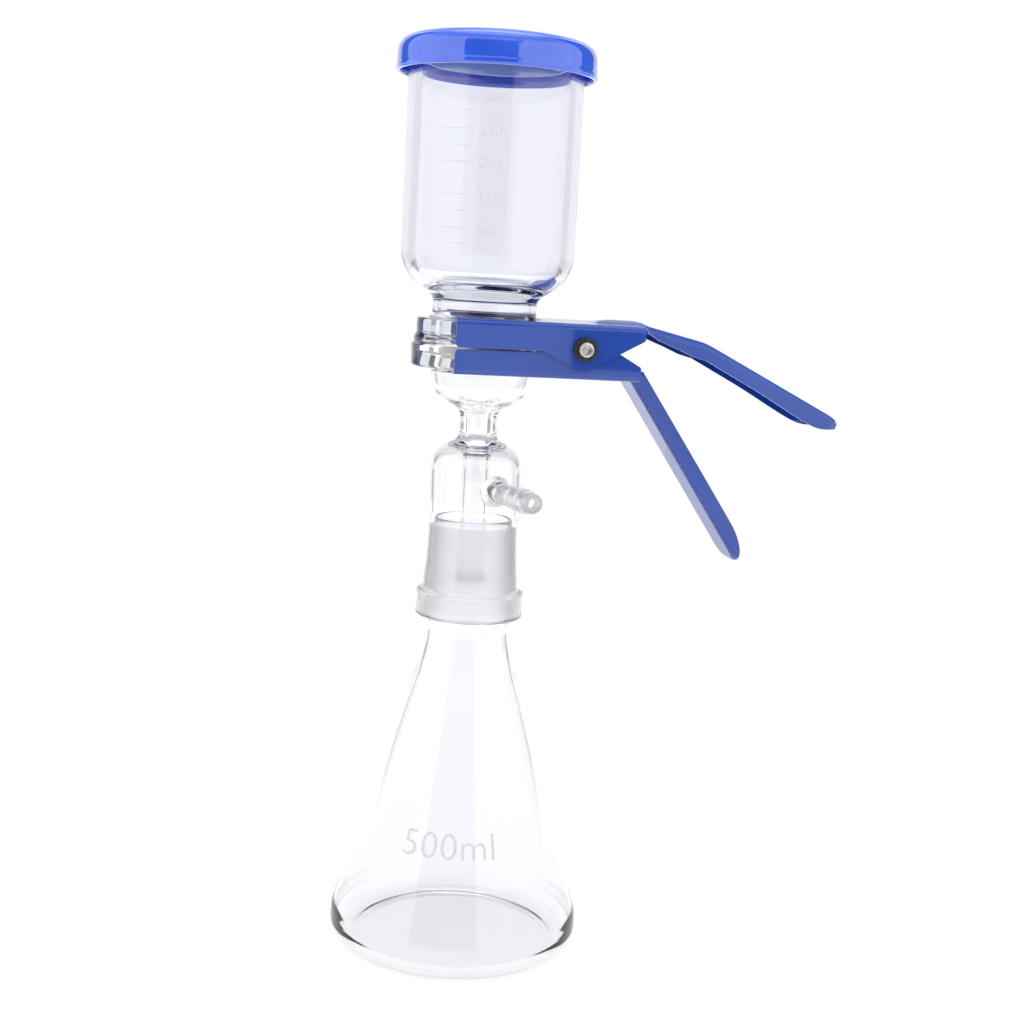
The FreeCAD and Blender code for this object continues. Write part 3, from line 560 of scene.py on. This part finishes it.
head_pts = chain(
    p_line((bore_r(155.6), 155.6), (21.0, 154.5)),
    p_line((21.0, 154.5), (23.4, 154.5)),
    p_arc((23.4, 154.5), (24.25, 154.85), (24.6, 155.7), 6),
    p_line((24.6, 155.7), (24.6, 164.9)),
    p_arc((24.6, 164.9), (24.1, 166.1), (22.9, 166.6), 6),
    p_spline([(22.9, 166.6), (22.1, 167.3), (21.75, 169.2), (21.2, 175.0), (20.75, 181.0),
              (20.5, 188.0), (20.5, 195.0), (20.8, 201.5), (21.1, 207.5),
              (21.3, 214.0), (21.3, 221.0), (20.9, 225.2), (19.7, 228.3), (17.7, 230.7),
              (15.0, 232.6), (12.2, 233.8), (10.1, 235.0), (8.9, 237.0), (8.4, 240.0),
              (8.4, 243.5), (8.7, 246.6), (9.7, 248.7), (12.0, 250.1), (14.8, 251.5), (17.7, 253.4),
              (20.1, 256.3), (21.7, 259.7), (22.4, 263.4)],
             (-1, 0.35), (0, 1)),
    p_line((22.4, 263.4), (22.4, 265.85)),
    p_arc((22.4, 265.85), (22.87, 266.98), (24.0, 267.45), 6),
    p_line((24.0, 267.45), (30.7, 267.45)),
    p_arc((30.7, 267.45), (31.7, 267.85), (32.1, 268.85), 6),
    p_line((32.1, 268.85), (32.1, 276.4)),
    p_arc((32.1, 276.4), (31.6, 277.7), (30.5, 278.3), 6),
    p_line((30.5, 278.3), (20.25, 278.3)),
    p_line((20.25, 278.3), (20.25, 273.7)),
    p_line((20.25, 273.7), (18.8, 273.7)),
    p_spline([(18.8, 273.7), (19.5, 271.0), (20.2, 266.0), (20.1, 262.4), (19.1, 259.0),
              (17.2, 256.2), (14.2, 254.0), (10.5, 252.5), (7.3, 251.3), (5.3, 249.6),
              (4.55, 246.5), (4.45, 240.0), (4.5, 232.0), (4.6, 226.0)],
             (0.4, -1), (0, -1)),
    p_line((4.6, 226.0), (4.6, 170.6)),
    p_arc((4.6, 170.6), (5.35, 170.0), (6.1, 170.6), 6),
    p_line((6.1, 170.6), (6.1, 226.5)),
    p_spline([(6.1, 226.5), (6.35, 228.9), (7.5, 230.6), (9.6, 231.1), (12.2, 230.9), (14.9, 229.6),
              (17.2, 227.5), (18.7, 224.5), (19.15, 220.5), (19.15, 214.0), (18.9, 206.0),
              (18.5, 200.5), (bore_r(196.6), 196.6)],
             (0, 1), (-0.05, -1)),
    p_line((bore_r(196.6), 196.6), (bore_r(155.6), 155.6)),
)
if math.hypot(head_pts[0][0] - head_pts[-1][0], head_pts[0][1] - head_pts[-1][1]) < 1e-4:
    head_pts.pop()
head_pts = refine(soften(head_pts, True, 0.35, 30.0), True, 6.0)

T = BARB_TIP
barb_pts = chain(
    p_line((0.0, 19.9), (7.3, 19.9)),
    p_spline([(7.3, 19.9), (7.2, 20.9), (6.4, 22.2), (5.4, 23.9), (BARB_R + 0.05, 27.0), (BARB_R, 31.0)],
             (0.25, 1), (0, 1), 0.5),
    p_line((BARB_R, 31.0), (BARB_R, T - 19.0)),
    p_spline([(BARB_R, T - 19.0), (5.25, T - 17.2), (5.3, T - 15.6), (BARB_R, T - 11.6)], (0.4, 1), (-0.25, 1), 0.5),
    p_spline([(BARB_R, T - 11.6), (5.3, T - 9.6), (5.35, T - 7.8), (4.5, T - 3.6)], (0.4, 1), (-0.2, 1), 0.5),
    p_spline([(4.5, T - 3.6), (4.2, T - 1.2), (3.55, T - 0.15), (3.2, T - 0.02)], (-0.2, 1), (-1, 0.1), 0.4),
    p_line((3.2, T - 0.02), (0.0, T - 0.02)),
)
bore_pts = chain(
    p_line((0.0, 15.0), (BARB_BORE, 15.0)),
    p_line((BARB_BORE, 15.0), (BARB_BORE, T - 0.9)),
    p_line((BARB_BORE, T - 0.9), (3.25, T + 0.3)),
    p_line((3.25, T + 0.3), (0.0, T + 0.3)),
)


def radial(points, seg):
    v, f = lathe_data(refine(points, False, 3.0), seg)
    c, s = math.cos(BARB_AZ), math.sin(BARB_AZ)
    out = []
    for x, y, z in v:
        # own axis -> +X, then to the azimuth
        x1, y1, z1 = z, y, -x
        out.append((c * x1 - s * y1, s * x1 + c * y1, z1 + BARB_Z * MM))
    return out, f


head = new_object("filter_head_glass", *lathe_data(head_pts))
barb = new_object("tmp_barb", *radial(barb_pts, 72))
bore = new_object("tmp_bore", *radial(bore_pts, 72))
for o in (head, barb, bore):
    outward(o)
for other, op in ((barb, "UNION"), (bore, "DIFFERENCE")):
    mod = head.modifiers.new("b", "BOOLEAN")
    mod.operation = op
    mod.object = other
    mod.solver = "EXACT"
    apply_modifiers(head)
for o in (barb, bore):
    me = o.data
    bpy.data.objects.remove(o)
    bpy.data.meshes.remove(me)
head.data.shade_smooth()
sharpen(head, 42)
head.name = "filter_head_glass"
wear(head, MAT_HEAD)
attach(head, "unit")
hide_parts("filter_head")

funnel_pts = chain(
    p_line((19.9, 279.0), (20.5, 278.33)),
    p_line((20.5, 278.33), (30.3, 278.33)),
    p_arc((30.3, 278.33), (30.85, 278.75), (31.0, 279.5), 5),
    p_spline([(31.0, 279.5), (30.85, 280.6), (30.1, 282.0), (29.9, 283.6)], (0, 1), (0, 1), 0.5),
    p_line((29.9, 283.6), (29.9, 287.8)),
    p_arc((29.9, 287.8), (29.55, 288.65), (28.7, 289.0), 5),
    p_line((28.7, 289.0), (25.0, 289.0)),
    p_spline([(25.0, 289.0), (23.9, 290.1), (23.35, 291.8), (23.2, 293.6)], (-1, 0.5), (0, 1), 0.5),
    p_line((23.2, 293.6), (23.2, 295.8)),
    p_spline([(23.2, 295.8), (23.6, 297.9), (25.0, 299.6), (27.5, 301.2), (30.6, 303.3), (33.6, 306.1),
              (36.1, 309.8), (37.8, 314.0), (38.5, 319.5)], (0, 1), (0, 1), 0.7),
    p_line((38.5, 319.5), (38.5, 405.6)),
    p_arc((38.5, 405.6), (38.1, 406.5), (37.2, 406.9), 6),
    p_line((37.2, 406.9), (34.2, 406.9)),
    p_arc((34.2, 406.9), (33.2, 406.5), (32.8, 405.5), 6),
    p_line((32.8, 405.5), (32.8, 320.0)),
    p_spline([(32.8, 320.0), (32.3, 314.6), (30.7, 310.7), (28.1, 307.7), (25.0, 305.7), (22.4, 304.4),
              (20.6, 302.6), (19.9, 300.0)], (0, -1), (0, -1), 0.7),
    p_line((19.9, 300.0), (19.9, 279.0)),
)
if math.hypot(funnel_pts[0][0] - funnel_pts[-1][0], funnel_pts[0][1] - funnel_pts[-1][1]) < 1e-4:
    funnel_pts.pop()
funnel_pts = refine(soften(funnel_pts, True, 0.35, 30.0), True, 9.0)
funnel = new_object("graduated_funnel", *lathe_data(funnel_pts))
wear(funnel, MAT_FUNNEL)
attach(funnel, "unit")
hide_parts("funnel")

# =====================================================================
# lid
# =====================================================================
Z1, UNDER = 409.5, 407.05
lid_pts = chain(
    p_line((0.0, Z1 - 0.6), (26.0, Z1 - 0.6)),
    p_spline([(26.0, Z1 - 0.6), (30.0, Z1 - 0.35), (34.0, Z1 - 0.04), (36.6, Z1 - 0.02)], (1, 0), (1, 0), 0.8),
    p_spline([(36.6, Z1 - 0.02), (39.6, 408.95), (41.9, 407.3), (43.2, 405.0), (43.65, 402.0)], (1, 0), (0.02, -1), 0.5),
    p_line((43.65, 402.0), (43.8, 397.6)),
    p_spline([(43.8, 397.6), (43.95, 396.9), (44.08, 395.9), (43.95, 395.0), (43.5, 394.52)], (0.1, -1), (-1, -0.3), 0.35),
    p_line((43.5, 394.52), (42.5, 394.52)),
    p_line((42.5, 394.52), (42.1, 395.6)),
    p_line((42.1, 395.6), (42.0, 402.6)),
    p_spline([(42.0, 402.6), (41.3, 405.0), (39.9, 406.5), (37.8, UNDER)], (0, 1), (-1, 0.1), 0.6),
    p_line((37.8, UNDER), (32.4, UNDER)),
    p_line((32.4, UNDER), (32.4, 399.2)),
    p_line((32.4, 399.2), (31.9, 398.4)),
    p_line((31.9, 398.4), (30.9, 398.4)),
    p_line((30.9, 398.4), (30.7, 399.0)),
    p_line((30.7, 399.0), (30.5, 406.2)),
    p_line((30.5, 406.2), (29.7, 407.0)),
    p_line((29.7, 407.0), (0.0, 407.0)),
)
lid_pts = refine(soften(lid_pts, False, 0.3, 30.0), False, 5.0)
lid = new_object("push_on_lid", *lathe_data(lid_pts))
sharpen(lid, 50)
wear(lid, MAT_LID)
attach(lid, "lid")
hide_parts("lid")


# =====================================================================
# clamp halves: the CAD sheets, with their cut edges eased
# =====================================================================
def eased_copy(node, name, width, mat, body):
    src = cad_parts[node]
    me = src.data.copy()
    me.name = name
    ob = bpy.data.objects.new(name, me)
    bpy.context.scene.collection.objects.link(ob)
    bm = bmesh.new()
    bm.from_mesh(me)
    bmesh.ops.remove_doubles(bm, verts=bm.verts, dist=1e-6)
    bmesh.ops.dissolve_degenerate(bm, dist=1e-6, edges=bm.edges)
    bmesh.ops.dissolve_limit(bm, angle_limit=math.radians(0.4), use_dissolve_boundaries=False,
                             verts=bm.verts, edges=bm.edges)
    for f in bm.faces:
        f.smooth = True
    for e in bm.edges:
        e.smooth = True
    bm.to_mesh(me)
    bm.free()
    if "custom_normal" in me.attributes:
        me.attributes.remove(me.attributes["custom_normal"])
    me.update()
    mod = ob.modifiers.new("edge", "BEVEL")
    mod.width = width * MM
    mod.segments = 2
    mod.limit_method = "ANGLE"
    mod.angle_limit = math.radians(40)
    mod.use_clamp_overlap = True
    mod.harden_normals = False
    mod.miter_outer = "MITER_ARC"
    apply_modifiers(ob)
    ob.data.shade_smooth()
    sharpen(ob, 50)
    # the pressed walls shade dead flat: only the bends and eased edges turn the light
    wn = ob.modifiers.new("flat", "WEIGHTED_NORMAL")
    wn.mode = "FACE_AREA"
    wn.weight = 100
    wn.keep_sharp = True
    apply_modifiers(ob)
    wear(ob, mat)
    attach(ob, body)
    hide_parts(node)
    return ob


upper = eased_copy("clamp_upper_jaw", "clamp_jaw_upper", 0.42, MAT_UP, "clamp_upper")
lower = eased_copy("clamp_lower_jaw", "clamp_jaw_lower", 0.42, MAT_LOW, "unit")

for node, mat in (("pivot_pin", MAT_PIN), ("washer_near", MAT_WASHER_AND_SHADE), ("washer_far", MAT_WASHER_AND_SHADE),
                  ("torsion_spring", MAT_SPRING), ("sintered_disc", MAT_DISC)):
    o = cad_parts[node]
    for s in o.material_slots:
        s.material = mat


# =====================================================================
# fired scale on the funnel and the capacity on the flask
# =====================================================================
def text_mesh(body, size):
    """Flat filled text in the XY plane, millimetres, left edge and baseline at 0."""
    cu = bpy.data.curves.new("tmp_text", "FONT")
    cu.body = body
    cu.size = size
    cu.resolution_u = 3
    cu.space_character = 1.02
    cu.offset = -0.010 * size
    ob = bpy.data.objects.new("tmp_text", cu)
    bpy.context.scene.collection.objects.link(ob)
    bpy.context.view_layer.update()
    dg = bpy.context.evaluated_depsgraph_get()
    me = bpy.data.meshes.new_from_object(ob.evaluated_get(dg), depsgraph=dg)
    bpy.data.objects.remove(ob)
    bpy.data.curves.remove(cu)
    bm = bmesh.new()
    bm.from_mesh(me)
    bpy.data.meshes.remove(me)
    bmesh.ops.remove_doubles(bm, verts=bm.verts, dist=1e-4)
    bmesh.ops.triangulate(bm, faces=bm.faces)
    return bm


def subdivide_long(bm, longest):
    for _ in range(6):
        es = [e for e in bm.edges if e.calc_length() > longest]
        if not es:
            break
        bmesh.ops.subdivide_edges(bm, edges=es, cuts=1)
        bmesh.ops.triangulate(bm, faces=bm.faces)


def bar(bm, x0, x1, y, half):
    vs = [bm.verts.new(p) for p in ((x0, y - half, 0), (x1, y - half, 0), (x1, y + half, 0), (x0, y + half, 0))]
    bm.faces.new(vs)


def wrapped(bm, place, lift, thick):
    """Lay a flat mesh on a surface: place(x, y, h) gives the point h mm above it.
    The result is a closed thin slab."""
    if sum(f.normal.z for f in bm.faces) < 0:
        bmesh.ops.reverse_faces(bm, faces=bm.faces)
    bm.verts.ensure_lookup_table()
    bm.faces.ensure_lookup_table()
    vs = [tuple(v.co) for v in bm.verts]
    fs = [tuple(v.index for v in f.verts) for f in bm.faces]
    n = len(vs)
    verts = [place(x, y, lift + thick) for x, y, _ in vs] + [place(x, y, lift) for x, y, _ in vs]
    faces = list(fs) + [tuple(i + n for i in reversed(f)) for f in fs]
    for e in bm.edges:
        if len(e.link_faces) == 1:
            f = e.link_faces[0]
            a, b = e.verts[0].index, e.verts[1].index
            order = [v.index for v in f.verts]
            k = order.index(a)
            if order[(k + 1) % len(order)] != b:
                a, b = b, a
            faces.append((b, a, a + n, b + n))
    return [tuple(c * MM for c in v) for v in verts], faces


def merged(parts):
    V, F = [], []
    for v, f in parts:
        k = len(V)
        V += v
        F += [tuple(i + k for i in q) for q in f]
    return V, F


CUP_R = 38.5


def on_cup(az0, z0):
    def place(x, y, h):
        a = math.radians(az0) + x / CUP_R
        r = CUP_R + h
        return (r * math.cos(a), r * math.sin(a), z0 + y)
    return place


scale_parts = []
# long marks every 50 ml, short ones between
bm = bmesh.new()
ref = -115.6
for z, a0, a1 in ((368.85, -135.1, -115.7), (355.2, -134.6, -114.6), (341.8, -135.8, -115.5), (327.9, -136.6, -116.8)):
    bar(bm, math.radians(a0 - ref) * CUP_R, math.radians(a1 - ref) * CUP_R, z, 0.16)
for z, a0, a1 in ((376.0, -122.9, -117.0), (361.8, -123.7, -115.2), (348.35, -121.0, -114.4),
                  (335.1, -124.9, -115.6), (321.4, -125.4, -116.6)):
    bar(bm, math.radians(a0 - ref) * CUP_R, math.radians(a1 - ref) * CUP_R, z, 0.15)
bmesh.ops.triangulate(bm, faces=bm.faces)
subdivide_long(bm, 1.2)
scale_parts.append(wrapped(bm, on_cup(ref, 0.0), 0.03, 0.05))
bm.free()
for label, az, z in (("300", -108.4, 381.8), ("250", -108.8, 368.1), ("200", -108.9, 354.9),
                     ("150", -108.4, 341.0), ("100", -109.6, 327.0)):
    bm = text_mesh(label, 6.0)
    bmesh.ops.translate(bm, verts=bm.verts, vec=(0, -2.15, 0))
    subdivide_long(bm, 1.2)
    scale_parts.append(wrapped(bm, on_cup(az, z), 0.03, 0.05))
    bm.free()
scale = new_object("funnel_scale_print", *merged(scale_parts), smooth=False)
wear(scale, MAT_PRINT)
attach(scale, "unit")

CONE_K = (57.0 - 24.1) / (123.4 - 16.0)
CONE_L = math.hypot(1.0, CONE_K)


def on_cone(az0, z0):
    r0 = 57.0 - CONE_K * (z0 - 16.0)

    def place(x, y, h):
        z = z0 + y / CONE_L
        r = 57.0 - CONE_K * (z - 16.0)
        a = math.radians(az0) + x / r0
        return ((r + h / CONE_L) * math.cos(a), (r + h / CONE_L) * math.sin(a), z + h * CONE_K / CONE_L)
    return place


bm = text_mesh("500ml", 17.2)
xs = [v.co.x for v in bm.verts]
bmesh.ops.translate(bm, verts=bm.verts, vec=(-0.5 * (min(xs) + max(xs)), -5.9, 0))
subdivide_long(bm, 1.6)
vol = new_object("flask_capacity_print", *wrapped(bm, on_cone(-105.0, 58.6), 0.03, 0.05), smooth=False)
bm.free()
wear(vol, MAT_PRINT_F)
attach(vol, "unit")


# =====================================================================
# stage, light and camera. The glass axis is upright; the view comes from
# the side of the clamp's near wall
# =====================================================================
YAW = math.radians(12.0)
CY, SY = math.cos(YAW), math.sin(YAW)


def from_view(x, y, z):
    """A point given in the camera's upright frame, put into the part's frame."""
    return Vector((CY * x + SY * y, -SY * x + CY * y, z))


def stage_material():
    m = Mat("studio_white")
    n = m.noise(m.co, 3.0, 2.0, 0.5)
    m.to(m.mix(m.ramp(n, 0.3, 0.7), (0.14, 0.14, 0.14), (0.16, 0.16, 0.16)), "Base Color")
    m.set(Roughness=0.9, Specular_IOR_Level=0.1, Emission_Strength=0.895)
    m.p.inputs["Emission Color"].default_value = (1.0, 1.0, 1.0, 1.0)
    return m.m


fl = new_object("studio_floor", [from_view(1.25 * math.cos(2 * math.pi * k / 64),
                                           1.25 * math.sin(2 * math.pi * k / 64) - 0.55, 0)
                                 for k in range(64)], [tuple(range(64))], smooth=False)
wear(fl, stage_material())

world = bpy.data.worlds.new("studio")
bpy.context.scene.world = world
world.use_nodes = True
wt = world.node_tree
wt.nodes.clear()


class W(Mat):
    def __init__(self, tree):
        self.t = tree


w = W(wt)
gen = wt.nodes.new("ShaderNodeTexCoord").outputs["Generated"]
sep = w.node("ShaderNodeSeparateXYZ", Vector=gen)
gx, gy, gz = sep.outputs
hl = w.math("SQRT", w.math("ADD", w.math("MULTIPLY", gx, gx), w.math("MULTIPLY", gy, gy)))
hl = w.math("MAXIMUM", hl, 0.0001)


def sector(centre, half, soft):
    """1 inside a sector of azimuths, in degrees from the camera's side, left negative."""
    a = math.radians(centre)
    d = from_view(math.sin(a), -math.cos(a), 0)
    c = w.math("DIVIDE", w.math("ADD", w.math("MULTIPLY", gx, d.x), w.math("MULTIPLY", gy, d.y)), hl)
    return w.ramp(c, math.cos(math.radians(half + soft)), math.cos(math.radians(half - soft)))


elev_lo = w.ramp(gz, 0.60, 0.72, 1.0, 0.0)          # panels end well below the zenith
above = w.ramp(gz, 0.0, 0.04)
below = w.math("SUBTRACT", 1.0, above)
left_box = w.math("MULTIPLY", sector(-80, 43, 0.8), elev_lo)
right_box = w.math("ADD", w.math("MULTIPLY", sector(68.6, 44, 0.8), w.math("MULTIPLY", elev_lo, above)),
                   w.math("MULTIPLY", sector(72.3, 40.3, 1.0), below))
front = w.math("ADD", w.math("MULTIPLY", sector(-6.2, 30.8, 1.0), w.math("MULTIPLY", elev_lo, above)),
               w.math("MULTIPLY", sector(-8.0, 29.0, 1.0), below))
mast = w.math("MULTIPLY", w.math("MULTIPLY", sector(25.5, 6.0, 0.8), w.math("SUBTRACT", 1.0, sector(-6.2, 30.8, 1.0))),
              w.math("MULTIPLY", w.ramp(gz, 0.36, 0.42), elev_lo))
gaps = w.math("ADD", sector(129.0, 15.5, 1.0), sector(-132.5, 9.5, 1.0))
gaps = w.math("MULTIPLY", gaps, w.math("ADD", w.ramp(gz, 0.122, 0.136, 0.12, 1.0), w.ramp(gz, -0.085, -0.060, 0.7, 0.0)))
stand = w.math("MULTIPLY", sector(27.2, 1.35, 0.12),
               w.math("MULTIPLY", w.ramp(gz, -0.004, -0.001, 1.0, 0.0), w.ramp(gz, -0.061, -0.057)))
back = sector(180, 32, 2.0)
over = w.math("MULTIPLY", sector(180, 84, 4.0), w.ramp(gz, 0.130, 0.145))
low_back = w.math("MULTIPLY", sector(180, 40, 6.0), w.ramp(gz, -0.168, -0.158, 1.0, 0.0))
top = w.ramp(gz, 0.86, 0.91)
level = w.math("ADD", 0.92, w.math("MULTIPLY", left_box, 0.22))
level = w.math("ADD", level, w.math("MULTIPLY", right_box, 0.22))
level = w.math("SUBTRACT", level, w.math("MULTIPLY", w.math("MULTIPLY", front, w.ramp(gz, 0.46, 0.52, 1.0, 0.0)), 0.72))
level = w.math("SUBTRACT", level, w.math("MULTIPLY", gaps, 0.62))
level = w.math("SUBTRACT", level, w.math("MULTIPLY", stand, 0.72))
level = w.math("ADD", level, w.math("MULTIPLY", back, 0.11))
level = w.math("SUBTRACT", level, w.math("MULTIPLY", mast, 0.70))
level = w.math("ADD", level, w.math("MULTIPLY", low_back, 0.30))
level = w.math("SUBTRACT", level, w.math("MULTIPLY", w.math("MULTIPLY", over, elev_lo), 0.20))
level = w.math("SUBTRACT", level, w.math("MULTIPLY", w.math("SUBTRACT", 1.0, elev_lo), 0.30))
level = w.math("MAXIMUM", level, 0.12)
level = w.math("ADD", level, w.math("MULTIPLY", top, 0.75))
lp = wt.nodes.new("ShaderNodeLightPath")
mixn = wt.nodes.new("ShaderNodeMix")
mixn.data_type = "FLOAT"
wt.links.new(lp.outputs["Is Camera Ray"], mixn.inputs[0])
wt.links.new(level, mixn.inputs[2])
mixn.inputs[3].default_value = 1.03
bg = wt.nodes.new("ShaderNodeBackground")
bg.inputs["Color"].default_value = (0.985, 0.99, 1.0, 1.0)
wt.links.new(mixn.outputs[0], bg.inputs["Strength"])
wo = wt.nodes.new("ShaderNodeOutputWorld")
wt.links.new(bg.outputs[0], wo.inputs[0])


def softbox(name, loc, target, size, power):
    li = bpy.data.lights.new(name, "AREA")
    li.shape = "RECTANGLE"
    li.size, li.size_y = size
    li.energy = power
    ob = bpy.data.objects.new(name, li)
    bpy.context.scene.collection.objects.link(ob)
    p = from_view(*loc)
    d = (from_view(*target) - p).normalized()
    ob.matrix_world = Matrix.Translation(p) @ d.to_track_quat("-Z", "Y").to_matrix().to_4x4()
    ob.visible_glossy = False
    ob.visible_transmission = False
    return ob


softbox("key_left", (-0.95, -0.55, 0.95), (0, 0, 0.22), (0.7, 1.0), 6.5)
softbox("fill_right", (1.1, -0.35, 0.85), (0, 0, 0.22), (0.6, 0.9), 4.0)
softbox("top_light", (0.0, 0.15, 1.5), (0, 0, 0.2), (1.1, 1.1), 8.0)

cam_data = bpy.data.cameras.new("camera")
cam = bpy.data.objects.new("camera", cam_data)
bpy.context.scene.collection.objects.link(cam)
cam_data.sensor_width = 36.0
cam_data.lens = 1551.0 / 1024.0 * 36.0
cam_data.dof.use_dof = False
cam_data.clip_start = 0.01
cam_data.clip_end = 50.0
pitch, roll = math.radians(8.62), math.radians(3.26)
right = from_view(1, 0, 0)
up = from_view(0, math.sin(pitch), math.cos(pitch))
fwd = from_view(0, math.cos(pitch), -math.sin(pitch))
cx = right * math.cos(roll) + up * math.sin(roll)
cyv = up * math.cos(roll) - right * math.sin(roll)
R = Matrix((cx, cyv, -fwd)).transposed()
cam.matrix_world = Matrix.Translation(from_view(0.0174, -0.6986, 0.3088)) @ R.to_4x4()
bpy.context.scene.camera = cam

sc = bpy.context.scene
sc.view_settings.view_transform = "Standard"
sc.view_settings.look = "None"
sc.cycles.max_bounces = 28
sc.cycles.transmission_bounces = 26
sc.cycles.glossy_bounces = 10
sc.cycles.diffuse_bounces = 4
sc.cycles.transparent_max_bounces = 12
sc.cycles.caustics_reflective = True
sc.cycles.caustics_refractive = True
sc.cycles.blur_glossy = 0.6
sc.cycles.use_denoising = True
try:
    sc.cycles.denoiser = "OPENIMAGEDENOISE"
except Exception:
    pass
